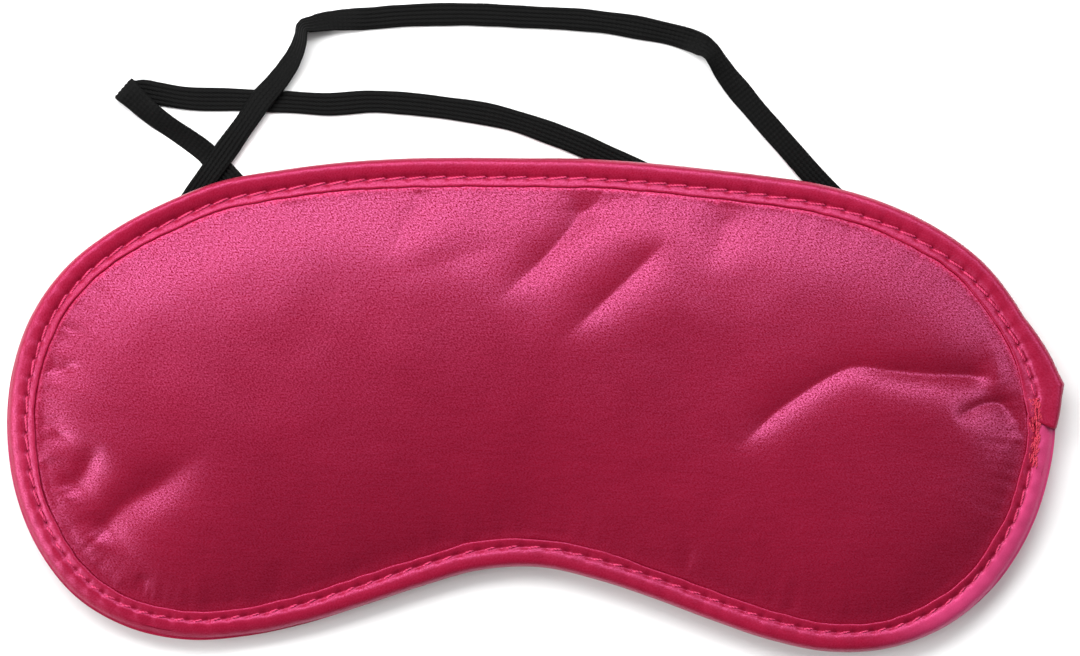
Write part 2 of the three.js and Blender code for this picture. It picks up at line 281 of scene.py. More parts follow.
def satin(name, deep, bright, angle, period, coords="object", rough=0.42, grain=1.0, sheen=0.02, painted_light=None):
    """Satin weave: fine slanting floats, slight colour drift, pink-tinted gloss."""
    n = Nodes(name)
    if coords == "object":
        p = n.put("ShaderNodeTexCoord").outputs["Object"]
    else:
        p = n.put("ShaderNodeAttribute", attribute_name="strip").outputs["Vector"]
    turned = n.mapping(p, rot=(0, 0, math.radians(angle)))
    u, v, _ = n.xyz(turned)[:3]
    # twill line, bent a little by the cloth's own unevenness
    drift = n.noise(p, 90.0, 2.0)
    line = n.math("SINE", n.math("ADD", n.math("MULTIPLY", u, 2 * math.pi / period), n.math("MULTIPLY", drift, 5.0)))
    # separate floats along each line
    floats = n.noise(n.mapping(turned, rot=(0, 0, math.radians(-45)), scale=(1.15 / period, 1.85 / period, 1.0)), 1.0, 1.0, 0.6)
    spots = n.math("MULTIPLY", n.math("SUBTRACT", floats, 0.5), 3.0)
    slub = n.noise(n.mapping(p, scale=(1.0, 7.0, 1.0)), 260.0, 3.0, 0.6)
    height = n.math("ADD", n.math("MULTIPLY", line, 0.2), spots)
    blotch = n.noise(p, 28.0, 3.0, 0.55)
    tone = n.math("ADD", n.math("MULTIPLY", spots, 0.15 * grain),
                  n.math("ADD", n.math("MULTIPLY", line, 0.03 * grain),
                         n.math("ADD", n.math("MULTIPLY", n.math("SUBTRACT", blotch, 0.5), 0.45),
                                n.math("MULTIPLY", n.math("SUBTRACT", slub, 0.5), 0.35))))
    tone = n.math("ADD", tone, 0.5)
    base = n.ramp(tone, [(0.0, deep), (1.0, bright)])
    if painted_light is not None:                  # painted light, from 0 to 1: a brighter colour mixed into the base, as painted glow in the panel's crease and painted sheen on the binding
        near = n.put("ShaderNodeAttribute", attribute_name="painted_light").outputs["Fac"]
        base = n.mix(near, base, (*painted_light, 1))
    r = n.math("ADD", rough - 0.05, n.math("MULTIPLY", slub, 0.1))
    gloss = n.math("ADD", 0.5, n.math("ADD", n.math("MULTIPLY", spots, 0.86 * grain), n.math("MULTIPLY", line, 0.04 * grain)))
    n.set(Base_Color=base, Roughness=r, Normal=n.bump(height, 0.16 * grain, 0.00005), Specular_IOR_Level=gloss)
    n.set(IOR=1.82, Specular_Tint=(1.0, 0.22, 0.55, 1.0), Sheen_Weight=sheen, Sheen_Roughness=0.4,
          Sheen_Tint=(1.0, 0.35, 0.55, 1.0))
    return n.m


def thread_material(name, deep, bright):
    n = Nodes(name)
    p = n.put("ShaderNodeAttribute", attribute_name="strip").outputs["Vector"]
    u, v, _ = n.xyz(p)[:3]
    ply = n.math("SINE", n.math("ADD", n.math("MULTIPLY", u, 2 * math.pi / 0.0006), n.math("MULTIPLY", v, 4 * math.pi)))
    obj = n.put("ShaderNodeTexCoord").outputs["Object"]
    tone = n.math("ADD", n.math("MULTIPLY", ply, 0.22), n.noise(obj, 900.0, 2.0))
    n.set(Base_Color=n.ramp(tone, [(0.15, deep), (0.85, bright)]), Roughness=0.45,
          Normal=n.bump(ply, 0.5, 0.00005), Specular_Tint=(1.0, 0.5, 0.6, 1.0), Specular_IOR_Level=0.4)
    return n.m


def elastic_material(name):
    n = Nodes(name)
    p = n.put("ShaderNodeAttribute", attribute_name="strip").outputs["Vector"]
    u, v, _ = n.xyz(p)[:3]
    # braid: short slanting stitches on each rib
    ribs = n.math("SINE", n.math("MULTIPLY", v, 2 * math.pi / 0.00076))
    pick = n.math("SINE", n.math("ADD", n.math("MULTIPLY", u, 2 * math.pi / 0.00085), n.math("MULTIPLY", n.math("ABSOLUTE", ribs), 2.2)))
    obj = n.put("ShaderNodeTexCoord").outputs["Object"]
    fuzz = n.noise(obj, 2600.0, 3.0, 0.6)
    dust = n.noise(obj, 120.0, 3.0, 0.6)
    tone = n.math("ADD", n.math("MULTIPLY", pick, 0.14), n.math("ADD", n.math("MULTIPLY", ribs, 0.2), n.math("ADD", n.math("MULTIPLY", fuzz, 0.35), n.math("MULTIPLY", dust, 0.35))))
    base = n.ramp(tone, [(0.0, (0.0004, 0.0004, 0.0005)), (0.6, (0.0014, 0.0014, 0.0013)), (1.0, (0.006, 0.006, 0.0058))])
    h = n.math("ADD", n.math("MULTIPLY", pick, 0.5), n.math("MULTIPLY", fuzz, 0.8))
    n.set(Base_Color=base, Roughness=0.62, Normal=n.bump(h, 0.5, 0.00008), Specular_IOR_Level=0.09)
    return n.m


def brushed_material(name):
    n = Nodes(name)
    obj = n.put("ShaderNodeTexCoord").outputs["Object"]
    nap = n.noise(n.mapping(obj, rot=(0, 0, 0.3), scale=(1.0, 0.45, 1.0)), 1500.0, 4.0, 0.65)
    patch = n.noise(obj, 60.0, 3.0)
    tone = n.math("ADD", n.math("MULTIPLY", nap, 0.6), n.math("MULTIPLY", patch, 0.4))
    base = n.ramp(tone, [(0.25, (0.004, 0.004, 0.005)), (0.8, (0.02, 0.019, 0.022))])
    n.set(Base_Color=base, Roughness=0.85, Normal=n.bump(nap, 0.6, 0.00012), Sheen_Weight=0.3, Sheen_Roughness=0.5,
          Sheen_Tint=(0.5, 0.48, 0.55, 1.0), Specular_IOR_Level=0.2)
    return n.m


def wadding_material(name):
    n = Nodes(name)
    obj = n.put("ShaderNodeTexCoord").outputs["Object"]
    f = n.noise(n.mapping(obj, scale=(1, 0.3, 1)), 1800.0, 4.0, 0.7)
    n.set(Base_Color=n.ramp(f, [(0.2, (0.62, 0.6, 0.56)), (0.8, (0.86, 0.85, 0.82))]), Roughness=0.95,
          Normal=n.bump(f, 0.6, 0.0002))
    return n.m


# its last colour is a painted glow, a brighter red for the panel's crease at the binding
SATIN = satin("panel_satin", (0.100, 0.0013, 0.0070), (0.250, 0.0052, 0.0235), 33, 0.00046, rough=0.39, painted_light=(0.50, 0.005, 0.040))
# its last colour is a painted sheen, a lighter pink for the binding's run below the join
BIND = satin("binding_satin", (0.150, 0.0018, 0.011), (0.350, 0.0062, 0.033), 45, 0.0005, coords="strip", grain=0.5, sheen=0.0,
             painted_light=(0.64, 0.060, 0.195))
LINING = brushed_material("lining_cloth")
WADDING = wadding_material("wadding")
PINK = thread_material("pink_thread", (0.27, 0.008, 0.045), (0.64, 0.050, 0.15))
TACKM = thread_material("tack_thread", (0.27, 0.006, 0.022), (0.58, 0.042, 0.088))
ELASTIC = elastic_material("elastic")

# ---------------------------------------------------------------------- camera

cam_data = bpy.data.cameras.new("camera")
DIST = 900.0
cam_data.sensor_width = 36.0
cam_data.lens = 36.0 * DIST / 199.58
cam_data.clip_start, cam_data.clip_end = 0.05, 20.0
cam = bpy.data.objects.new("camera", cam_data)
cam.location = (0.97 * MM, 14.2 * MM, (DIST + 4.0) * MM)
cam.rotation_euler = (0.0, 0.0, 0.0)
bpy.context.scene.collection.objects.link(cam)
bpy.context.scene.camera = cam

# -------------------------------------------------------------------- elastics

# stations: x, y, centre height, tilt of the tape about its own line (degrees),
# or a pair (direction of the width, turn) where the tape is folded
U_ST = [
    (-95.5, 2.0, TAB, 0), (-91.8, 2.0, TAB, 0), (-88.2, 2.0, DIP, (-90, 0)), (-84.8, 6.6, LOW, 0), (-80.5, 15.0, LOW, 0),
    (-75.0, 23.0, LOW, 0), (-69.5, 30.0, LOW, 0), (-64.4, 37.0, 0.5, 0), (-61.3, 41.4, HIGH, 0),
    (-58.9, 44.8, HIGH, 0), (-56.5, 48.2, HIGH, 0), (-54.8, 50.6, HIGH, 5), (-53.1, 53.0, HIGH, 8), (-50.8, 56.4, HIGH, 10),
    (-47.7, 60.0, HIGH, 15), (-45.9, 62.5, 1.1, 27), (-44.45, 65.0, 1.3, 38), (-43.6, 67.2, 1.6, 47), (-43.3, 68.7, 1.8, 56),
    (-43.15, 69.75, 1.75, (-32, 0, 52, 1)), (-42.75, 70.25, 1.65, (-62, 0, 48, 1)),
    (-41.6, 70.5, 1.4, (-84, 0, 44, 1)), (-40.0, 70.85, 1.1, 36), (-38.0, 71.15, 0.9, 28), (-35.0, 71.4, 0.6, 15), (-31.0, 71.6, LOW, 0),
    (-25.0, 72.1, LOW, 0), (-13.2, 72.4, LOW, 0), (-1.4, 71.9, LOW, 0), (10.4, 71.2, LOW, 0),
    (20.0, 69.8, LOW, 0), (27.4, 68.1, LOW, 0), (30.6, 66.9, 0.6, 14), (32.4, 65.75, 0.9, 32), (33.0, 65.1, 1.0, (-140, 0, 34, 1)), (33.5, 64.35, 0.9, 32), (35.4, 61.4, 0.5, 12), (38.0, 58.1, LOW, 0),
    (41.5, 53.9, LOW, 0), (46.7, 48.0, LOW, 0),
    (52.4, 41.6, LOW, 0), (59.0, 35.0, LOW, 0), (67.0, 28.0, LOW, 0), (74.5, 20.0, LOW, 0),
    (79.5, 13.0, LOW, 0), (82.9, 7.0, LOW, 0), (86.5, 1.8, DIP, (-90, 0)), (90.1, 1.8, TAB, 0), (93.8, 1.8, TAB, 0),
]
FOLD_X, FOLD_Y, FOLD_DIR, FOLD_R = -75.9, 58.35, 139.0, (HIGH - LOW) / 2
_fd = (math.cos(math.radians(FOLD_DIR)), math.sin(math.radians(FOLD_DIR)))
_fold = [(FOLD_X + _fd[0] * FOLD_R * math.sin(a), FOLD_Y + _fd[1] * FOLD_R * math.sin(a),
          (HIGH + LOW) / 2 + FOLD_R * math.cos(a), (FOLD_DIR - 90, math.degrees(a), 0, 1.15))
         for a in np.radians([0, 45, 90, 135, 180])]
L_ST = [
    (-95.5, -10.0, TAB, 0), (-91.9, -10.0, TAB, 0), (-88.3, -10.0, DIP, (-90, 0)), (-83.6, -6.8, LOW, 0),
    (-77.0, -0.5, LOW, 0), (-70.0, 7.0, LOW, 0), (-63.0, 14.5, LOW, 0), (-56.5, 21.5, LOW, 0),
    (-51.9, 27.6, LOW, 0), (-50.5, 32.6, LOW, 0), (-52.4, 37.3, LOW, 0), (-55.9, 41.3, LOW, 0),
    (-59.3, 44.9, LOW, 0), (-61.0, 46.7, 0.45, 18), (-64.6, 49.4, 0.6, 24), (-67.0, 51.0, 0.75, 26), (-70.5, 53.5, 1.1, 20),
    (-73.4, 56.0, 1.25, 8), *_fold,
    (-73.6, 58.35, LOW, (62, 180, 0, 1.05)), (-70.1, 57.75, LOW, (79, 180)), (-64.3, 56.8, LOW, (86, 180)),
    (-55.4, 56.55, LOW, (90, 180)), (-45.1, 56.1, LOW, (89, 180)), (-38.5, 55.7, LOW, (90, 180)), (-30.3, 56.2, LOW, (88, 180)),
    (-24.4, 55.9, LOW, (86, 180)), (-15.6, 54.9, LOW, (82, 180)), (-8.3, 53.75, LOW, (79, 180)), (-4.0, 52.7, LOW, (74, 180)),
    (1.6, 50.85, LOW, (70, 180)), (8.4, 48.25, LOW, (68, 180)),
    (18.0, 43.9, LOW, (66, 180)), (29.0, 38.8, LOW, (64, 180)), (41.0, 33.6, LOW, (64, 180)), (52.5, 27.4, LOW, (58, 180)),
    (63.0, 19.2, LOW, (47, 180)), (72.0, 9.0, LOW, (37, 180)), (78.6, -1.6, LOW, (31, 180)), (82.0, -8.2, LOW, (50, 180)),
    (86.1, -11.8, DIP, (90, 180)), (89.6, -11.8, TAB, (90, 180)), (93.4, -11.8, TAB, (90, 180)),
]
RIBS, ACROSS = 5.5, 25


def ribbon(name, stations, step=0.55):
    """Flat ribbed tape through the stations. Returns the object, its centreline
    (metres) and its length (metres)."""
    p = np.array([st[:3] for st in stations], float)
    n = len(p)
    w, up, scale = np.zeros((n, 3)), np.zeros((n, 3)), np.ones(n)
    for i, st in enumerate(stations):
        a, b = p[max(0, i - 1)], p[min(n - 1, i + 1)]
        t = np.zeros(3)
        for q in (p[i] - a, b - p[i]):
            if np.linalg.norm(q) > 0:
                t += q / np.linalg.norm(q)
        t /= np.linalg.norm(t)
        if isinstance(st[3], tuple):
            q, r = np.radians(st[3][:2])
            tilt, wide = (*st[3][2:], 0, 1)[:2] if len(st[3]) > 2 else (0, 1)
            tilt = math.radians(tilt)
            flat_w = np.array([math.cos(q), math.sin(q), 0.0])
            w[i] = flat_w * math.cos(tilt) + np.array([0, 0, math.sin(tilt)])
            up[i] = (np.array([0, 0, math.cos(r)]) + np.array([-math.sin(q), math.cos(q), 0]) * math.sin(r)
                     if not tilt else np.array([0, 0, math.cos(tilt)]) - flat_w * math.sin(tilt))
            scale[i] = wide
        else:
            w0 = np.array([t[1], -t[0], 0.0])
            w0 /= np.linalg.norm(w0)
            u0 = np.cross(w0, t)
            r = math.radians(st[3])
            w[i] = w0 * math.cos(r) + u0 * math.sin(r)
            up[i] = u0 * math.cos(r) - w0 * math.sin(r)
    # fine stations on a smooth curve through the coarse ones
    k = np.concatenate([[0], np.cumsum(np.linalg.norm(np.diff(p, axis=0), axis=1) ** 0.75)])
    m = np.zeros_like(p)
    m[1:-1] = ((p[1:-1] - p[:-2]) / (k[1:-1] - k[:-2])[:, None] * (k[2:] - k[1:-1])[:, None]
               + (p[2:] - p[1:-1]) / (k[2:] - k[1:-1])[:, None] * (k[1:-1] - k[:-2])[:, None]) / (k[2:] - k[:-2])[:, None]
    m[0], m[-1] = (p[1] - p[0]) / (k[1] - k[0]), (p[-1] - p[-2]) / (k[-1] - k[-2])
    P, W, U, WS = [], [], [], []
    for i in range(n - 1):
        h = k[i + 1] - k[i]
        length = np.linalg.norm(p[i + 1] - p[i])
        cnt = max(3, int(round(length / step)))
        for j in range(cnt + (i == n - 2)):
            t = j / cnt
            P.append((2 * t ** 3 - 3 * t ** 2 + 1) * p[i] + (t ** 3 - 2 * t ** 2 + t) * h * m[i]
                     + (-2 * t ** 3 + 3 * t ** 2) * p[i + 1] + (t ** 3 - t ** 2) * h * m[i + 1])
            e = t * t * (3 - 2 * t)
            W.append(w[i] * (1 - e) + w[i + 1] * e)
            U.append(up[i] * (1 - e) + up[i + 1] * e)
            WS.append(scale[i] * (1 - e) + scale[i + 1] * e)
    P, W, U = map(np.array, (P, W, U))
    W /= np.linalg.norm(W, axis=1)[:, None]
    U -= (U * W).sum(1)[:, None] * W
    U /= np.linalg.norm(U, axis=1)[:, None]
    along = np.concatenate([[0], np.cumsum(np.linalg.norm(np.diff(P, axis=0), axis=1))])
    # section: ribbed faces, rounded selvedges
    q = np.linspace(-1, 1, ACROSS)
    half = STRAP_W / 2
    thick = STRAP_T / 2 * (0.80 + 0.20 * np.cos(2 * math.pi * RIBS * (q + 1) / 2 + math.pi)) * np.sqrt(np.clip(1 - np.abs(q) ** 9, 0.08, 1))
    sec = [(a * half, b) for a, b in zip(q, thick)] + [(a * half, -b) for a, b in zip(q[::-1], thick[::-1])]
    sec = np.array(sec)
    verts, strip = [], []
    wav = wobble(along, 3 if "upper" in name else 5, 6.0) * 0.05
    for i in range(len(P)):
        wf = WS[i] + wav[i]
        verts.append(P[i] + np.outer(sec[:, 0] * wf, W[i]) + np.outer(sec[:, 1], U[i]))
        strip.append(np.stack([np.full(len(sec), along[i]) * MM, sec[:, 0] * MM], -1))
    verts, strip = np.vstack(verts), np.vstack(strip)
    verts[:, 2] = np.maximum(verts[:, 2], 0.02)
    o = outwards(make(name, verts, tube_faces(len(P), len(sec)), strip))
    return o, (P * MM).tolist(), float(along[-1] * MM)


upper, u_path, u_len = ribbon("upper_elastic", U_ST)
lower, l_path, l_len = ribbon("lower_elastic", L_ST)
for o, path, length, tag in ((upper, u_path, u_len, "upper"), (lower, l_path, l_len, "lower")):
    o.data.materials.append(ELASTIC)
    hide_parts(f"{tag}_strap_left_run", f"{tag}_strap_loop", f"{tag}_strap_right_run")
    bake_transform(o)
print("elastic lengths", round(u_len, 4), round(l_len, 4))

# ------------------------------------------------------- plan mesh of the panels

H = 1.6                                   # spacing of the plan mesh


def plan_mesh(rows=None):
    """Flat triangles inside the seam; rows are extra points laid along the folds."""
    inner_len = PERIMETER - 2 * math.pi * PIN
    m = int(round(inner_len / H))
    # boundary stations evenly spaced on the inset line
    s = np.linspace(0, PERIMETER, 3000, endpoint=False)
    p, nrm = edge_at(s)
    q = p + nrm * PIN
    seg = np.linalg.norm(np.roll(q, -1, 0) - q, axis=1)
    c = np.concatenate([[0], np.cumsum(seg)])
    sb = np.interp(np.arange(m) * c[-1] / m, c, np.append(s, PERIMETER))
    p, nrm = edge_at(sb)
    loop = p + nrm * PIN
    rng = np.random.default_rng(11)
    xs = np.arange(-96, 96, H)
    ys = np.arange(-46, 46, H * math.sqrt(3) / 2)
    grid = np.array([(x + (H / 2 if j % 2 else 0), y) for j, y in enumerate(ys) for x in xs])
    grid += rng.normal(0, 0.12, grid.shape)
    poly = EDGE
    x, y = grid[:, 0], grid[:, 1]
    cn = np.zeros(len(grid), bool)
    x0, y0 = poly[:, 0], poly[:, 1]
    x1, y1 = np.roll(x0, -1), np.roll(y0, -1)
    for a0, b0, a1, b1 in zip(x0[::6], y0[::6], np.roll(x0[::6], -1), np.roll(y0[::6], -1)):
        hit = (b0 > y) != (b1 > y)
        cn ^= hit & (x < (a1 - a0) * (y - b0) / (b1 - b0 if b1 != b0 else 1e-9) + a0)
    grid = grid[cn]
    d, _ = near_edge(grid)
    grid = grid[d > PIN + 0.62 * H]
    if rows is not None:
        keep = []
        for q in rows:                    # drop points that crowd each other
            if all((q[0] - r[0]) ** 2 + (q[1] - r[1]) ** 2 > 0.30 for r in keep[-60:]):
                keep.append(q)
        rows = np.array(keep)
        d, _ = near_edge(rows)
        rows = rows[d > PIN + 0.7]
        near = np.array([((rows - g) ** 2).sum(1).min() for g in grid])
        grid = np.vstack([grid[near > 0.95 ** 2], rows])
    pts = [Vector(v) for v in loop] + [Vector(v) for v in grid]
    edges = [(i, (i + 1) % m) for i in range(m)]
    vo, _, fo, _, _, _ = geometry.delaunay_2d_cdt(pts, edges, [list(range(m))], 1, 1e-6)
    return np.array([(v[0], v[1]) for v in vo]), [tuple(f) for f in fo], m, sb


PLAN, TRIS, NLOOP, LOOP_S = plan_mesh()      # for the filling and the lining
PLAN_D, PLAN_S = near_edge(PLAN)
on_loop = PLAN_D < PIN + 0.05
RING = np.arange(NLOOP)
assert on_loop[:NLOOP].all(), "the plan mesh starts with its boundary"

BELLY = dict(x=46.0, y=-1.5, rx=27.0, ry=16.0, flat=0.6)


def under_z(x, y, d):
    """Underside of the lining: raised all round for the elastics, with a flat
    belly under each lobe."""
    e = np.hypot((np.abs(x) - BELLY["x"]) / BELLY["rx"], (y - BELLY["y"]) / BELLY["ry"])
    u = 1.3 * smooth((e - BELLY["flat"]) / (1 - BELLY["flat"]))
    f = 1 - np.exp(-(np.maximum(d - PIN, 0) / 1.7) ** 1.25)
    return LINING_EDGE_Z - (LINING_EDGE_Z - u) * f


def pillow(pressure=6.0, frames=18, slack=-0.002, scale=10.0):
    """Cloth shell over the wadding, sewn down round its edge and puffed up. Gives
    the plan mesh's vertices on the face side."""
    f = 1 - np.exp(-(np.maximum(PLAN_D - PIN, 0)) / 9.0)
    n = len(PLAN)
    top = np.column_stack([PLAN, PANEL_LIP_Z + 4.3 * f])
    bot = np.column_stack([PLAN, LINING_EDGE_Z - 2.6 * f])
    faces = list(TRIS) + [(c + n, b + n, a + n) for a, b, c in TRIS]
    faces += [(i, (i + 1) % NLOOP, (i + 1) % NLOOP + n, i + n) for i in range(NLOOP)]
    o = make("pillow_form", np.vstack([top, bot]) * scale, faces)
    outwards(o)
    g = o.vertex_groups.new(name="sewn")
    g.add([int(i) for i in RING] + [int(i) + n for i in RING], 1.0, "REPLACE")
    m = o.modifiers.new("Cloth", "CLOTH")
    s = m.settings
    s.quality, s.mass = 6, 0.3
    s.tension_stiffness = s.compression_stiffness = 15
    s.shear_stiffness, s.bending_stiffness = 8, 0.4
    s.tension_damping = s.compression_damping = s.shear_damping = 5
    s.use_pressure, s.uniform_pressure_force = True, pressure
    s.vertex_group_mass = "sewn"
    s.shrink_min = slack
    s.effector_weights.gravity = 0
    m.collision_settings.use_collision = False
    m.point_cache.frame_start, m.point_cache.frame_end = 1, frames
    for k in range(1, frames + 1):
        bpy.context.scene.frame_set(k)
    ev = o.evaluated_get(bpy.context.evaluated_depsgraph_get())
    co = np.empty(len(ev.data.vertices) * 3)
    ev.data.vertices.foreach_get("co", co)
    co = co.reshape(-1, 3)[:n] / (MM * scale)
    me = o.data
    bpy.data.objects.remove(o)
    bpy.data.meshes.remove(me)
    bpy.context.scene.frame_set(1)
    # small ripples relax in the finished cloth
    nb = [[] for _ in range(n)]
    for a, b, c in TRIS:
        nb[a] += (b, c)
        nb[b] += (a, c)
        nb[c] += (a, b)
    src = np.concatenate([np.full(len(v), i) for i, v in enumerate(nb)])
    dst = np.concatenate([np.array(v) for v in nb])
    deg = np.bincount(src, minlength=n)[:, None]
    free = np.ones((n, 1))
    free[:NLOOP] = 0
    for _ in range(10):
        mean = np.column_stack([np.bincount(src, co[dst, k], n) for k in range(3)]) / deg
        co += free * 0.6 * (mean - co)
    # the cloth may move a little in plan and swell to the crown height
    move = np.clip(co - top, [-1.2, -1.2, -9], [1.2, 1.2, 9])
    co = top + move
    k = (CROWN - PANEL_LIP_Z) / (np.percentile(co[:, 2], 99.5) - PANEL_LIP_Z)
    co[:, 2] = PANEL_LIP_Z + (co[:, 2] - PANEL_LIP_Z) * k
    return co


FACE = pillow()
print("crown", round(float(FACE[:, 2].max()), 2))

# ------------------------------------------------------------------- wrinkles

# crease line, depth of the crease, reach of the slope into it, how much higher the
# cloth stands behind it, reach of the slope out of it, how far that height carries,
# side of the line's direction the higher cloth is on (1 left, -1 right), fade-in
# and fade-out (shares of the line), roundness of the crease
FOLDS = [
    ([(11.6, 40.6), (9.6, 36.8), (6.1, 32.0), (1.0, 26.3), (-3.4, 22.6), (-8.0, 17.5)], 1.05, 3.0, 0.65, 4.2, 14.0, 1, 0.02, 0.45, 0.5),
    ([(25.2, 31.6), (20.5, 26.6), (15.0, 21.3), (8.4, 15.2), (3.5, 10.5)], 0.82, 2.5, 0.45, 3.0, 11.0, 1, 0.30, 0.42, 0.5),
    ([(-20.0, 39.8), (-22.5, 35.5), (-25.5, 30.5), (-29.0, 25.5)], 0.45, 2.6, 0.30, 3.4, 9.0, 1, 0.1, 0.55, 1.0),
    ([(-32.0, 21.5), (-21.0, 25.0), (-10.0, 28.6), (1.0, 31.5)], 0.18, 3.0, 0.10, 3.0, 8.0, -1, 0.5, 0.45, 1.2),
    ([(37.4, 38.6), (35.4, 33.0), (33.0, 28.0), (31.0, 23.0)], 0.55, 3.2, 0.40, 4.4, 11.0, 1, 0.1, 0.55, 1.2),
    ([(36.0, -9.0), (39.6, -5.4), (44.6, -0.8), (52.0, 4.2), (57.0, 6.9), (60.4, 7.3), (64.5, 6.4), (72.7, 5.7), (80.0, 5.4), (86.2, 5.0)],
     1.05, 3.0, 0.66, 2.8, 12.0, -1, 0.18, 0.12, 0.4),
    ([(60.4, 7.4), (64.5, 6.5), (72.7, 5.8), (80.0, 5.5), (85.6, 5.1)], 0.55, 3.0, 0.46, 3.4, 11.0, -1, 0.35, 0.16, 0.6),
    ([(76.5, -2.8), (80.5, -0.8), (83.5, 0.7), (86.6, 0.2), (88.4, -1.4), (90.8, -3.8)], 1.05, 2.1, 0.24, 2.3, 6.0, -1, 0.28, 0.04, 0.4),
    ([(-86.8, -17.4), (-84.4, -14.9), (-82.0, -10.9), (-79.3, -5.4)], 1.30, 2.3, 0.30, 3.2, 8.0, -1, 0.3, 0.5, 1.3),
    ([(-81.5, -26.0), (-80.0, -23.3), (-75.3, -18.2), (-70.2, -15.4), (-63.5, -10.9), (-58.0, -7.5)], 1.75, 2.7, 0.80, 3.6, 11.0, -1, 0.16, 0.5, 1.6),
    ([(-72.6, -30.5), (-72.2, -33.0), (-71.4, -36.4)], 0.34, 1.3, 0.10, 1.4, 3.0, 1, 0.35, 0.05, 0.5),
    ([(-46.9, -27.8), (-46.9, -34.8)], 0.18, 1.4, 0.06, 1.6, 4.0, 1, 0.5, 0.05, 0.6),
    ([(28.0, -24.0), (28.4, -32.5)], 0.26, 1.5, 0.10, 1.7, 4.0, 1, 0.5, 0.05, 0.6),
    ([(-2.0, -20.0), (-1.2, -25.6)], 0.18, 1.8, 0.08, 1.8, 4.0, 1, 0.5, 0.05, 0.6),
    ([(-90.2, 6.4), (-86.5, 6.4), (-82.5, 8.9)], 0.50, 1.4, 0.08, 2.0, 4.5, -1, 0.05, 0.6, 0.5),
    ([(-91.6, -3.9), (-87.5, -4.9), (-84.0, -8.9)], 0.50, 1.5, 0.08, 2.0, 4.5, -1, 0.05, 0.6, 0.5),
    ([(-89.2, 15.8), (-85.0, 13.9), (-81.0, 13.2)], 0.42, 1.4, 0.06, 2.0, 4.0, -1, 0.05, 0.6, 0.5),
    ([(-90.4, -15.8), (-86.5, -15.0), (-84.0, -12.6)], 0.34, 1.4, 0.06, 1.9, 4.0, -1, 0.05, 0.6, 0.5),
]
# places along the seam (point, reach) where the panel is gathered most
GATHERS = [((-92.0, 9.5), 9, 0.7), ((-91.5, -10.5), 9, 0.6), ((-56.0, 36.0), 12, 0.7), ((-84, -27), 9, 0.2),
           ((-68, -37), 12, 0.25), ((88.5, -2.0), 7, 0.35), ((88, -16), 10, 0.25), ((10, 40), 12, 0.4), ((60, -40), 14, 0.3),
           ((-10, -25), 14, 0.3), ((74, 26), 14, 0.2)]


def crease_line(pts):
    """Evenly spaced smooth line through the points, and its length so far."""
    p = np.array(pts, float)
    k = np.concatenate([[0], np.cumsum(np.linalg.norm(np.diff(p, axis=0), axis=1))])
    kk = np.linspace(0, k[-1], max(12, int(k[-1] / 0.5)))
    fine = np.column_stack([np.interp(kk, k, p[:, 0]), np.interp(kk, k, p[:, 1])])
    for _ in range(14):
        fine[1:-1] = 0.25 * fine[:-2] + 0.5 * fine[1:-1] + 0.25 * fine[2:]
    return fine, kk


def crease_rows():
    """Points in rows beside each crease, so the mesh has edges along it."""
    rows = []
    for fold in FOLDS:
        fine, kk = crease_line(fold[0])
        t = np.gradient(fine, axis=0)
        t /= np.linalg.norm(t, axis=1)[:, None]
        side = np.column_stack([-t[:, 1], t[:, 0]])
        for i in range(0, len(fine), 2):
            for off in (0.0, -0.62, 0.62, -1.4, 1.4):
                rows.append(fine[i] + side[i] * off)
    return np.array(rows)


def fold_field(x, y):
    """Depth and swelling of the folds: each sinks gradually to a crease and rises
    more steeply out of it, to cloth that stands a little higher."""
    dip, swell = np.zeros(len(x)), np.zeros(len(x))
    for pts, depth, reach_v, rise, reach_r, carry, side, fi, fo, r in FOLDS:
        fine, kk = crease_line(pts)
        reach = 2.6 * carry
        sel = np.where((x > fine[:, 0].min() - reach) & (x < fine[:, 0].max() + reach)
                       & (y > fine[:, 1].min() - reach) & (y < fine[:, 1].max() + reach))[0]
        if not len(sel):
            continue
        q = np.column_stack([x[sel], y[sel]])
        t = np.gradient(fine, axis=0)
        t /= np.linalg.norm(t, axis=1)[:, None]
        i = np.empty(len(q), int)
        for c in range(0, len(q), 8000):
            part = q[c:c + 8000]
            i[c:c + 8000] = ((part[:, None, :] - fine[None]) ** 2).sum(2).argmin(1)
        v = q - fine[i]
        e = side * (-v[:, 0] * t[i, 1] + v[:, 1] * t[i, 0])
        over = v[:, 0] * t[i, 0] + v[:, 1] * t[i, 1]
        u = kk[i] / kk[-1] + over / kk[-1]
        fade = smooth(u / max(fi, 1e-3)) * smooth((1 - u) / max(fo, 1e-3))
        fade *= np.exp(-(over / (1.5 + 0.6 * np.abs(e))) ** 2)
        a = np.sqrt(e * e + r * r) - r                       # rounded crease
        dip[sel] -= fade * depth * np.where(e < 0, np.exp(-a / reach_v), np.exp(-a / reach_r))
        swell[sel] += fade * np.where(e < 0, 0, rise * (1 - np.exp(-a / reach_r)) * np.exp(-(np.maximum(e, 0) / carry) ** 2))
    return dip, swell


def pucker_field(x, y, d, s, seed, amount=1.0):
    """Small gathers that run in from the seam."""
    g = 0.16 + sum(a * np.exp(-((x - p[0]) ** 2 + (y - p[1]) ** 2) / (2 * r * r)) for (p, r, a) in GATHERS)
    wave = np.array([noise.noise(Vector((float(v) / 2.1, float(w) / 14.0, seed))) for v, w in zip(s, d)])
    wave += 0.5 * np.array([noise.noise(Vector((float(v) / 1.0, float(w) / 7.0, seed + 9.0))) for v, w in zip(s, d)])
    inn = d - PIN
    env = smooth(inn / 1.6) * np.exp(-np.maximum(inn - 1.0, 0) / 3.6)
    return amount * 0.55 * g * wave * env


